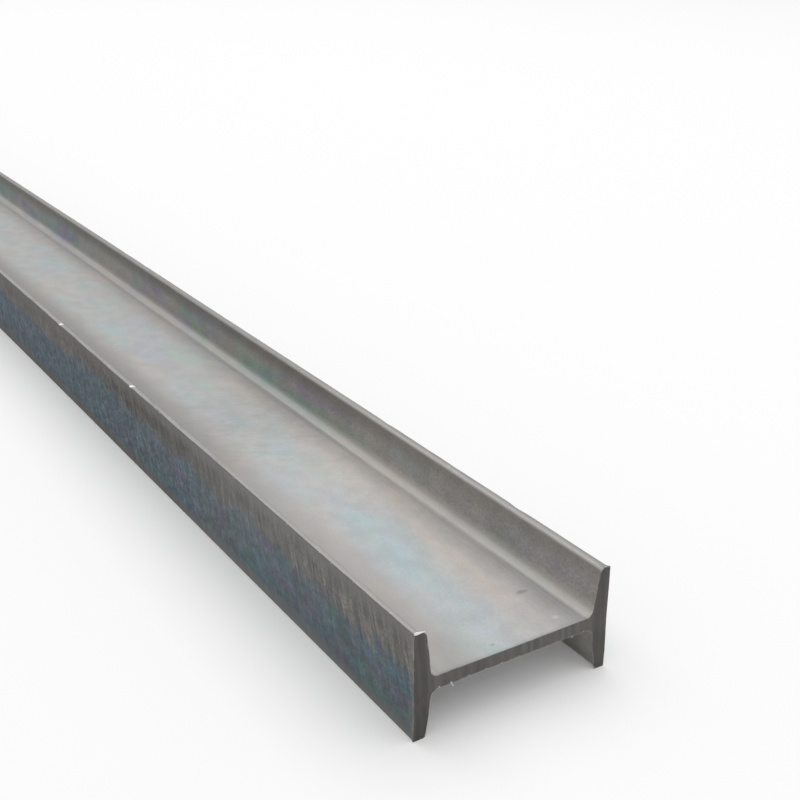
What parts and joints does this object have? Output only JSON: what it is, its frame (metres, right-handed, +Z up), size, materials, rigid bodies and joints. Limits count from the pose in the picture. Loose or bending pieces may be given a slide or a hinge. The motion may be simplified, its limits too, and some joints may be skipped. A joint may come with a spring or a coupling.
{
  "type": "i-beam",
  "caption": "Hot-rolled steel I-beam with tapered flanges, rounded roots and square sawn ends, a straight length of stock for frames, floors and columns.",
  "frame": {"origin": "under the middle of the beam, on the plane that its flange edges rest on", "axes": "+X along the length, +Y across the depth of the section from flange to flange, +Z up, square to the web"},
  "size_m": [6, 0.2, 0.102],
  "materials": {
    "mill_scale_steel": "as rolled, satin mill scale with worn flange edges and saw-cut ends"
  },
  "bodies": {
    "root": {"i_beam": "mill_scale_steel"}
  },
  "joints": []
}
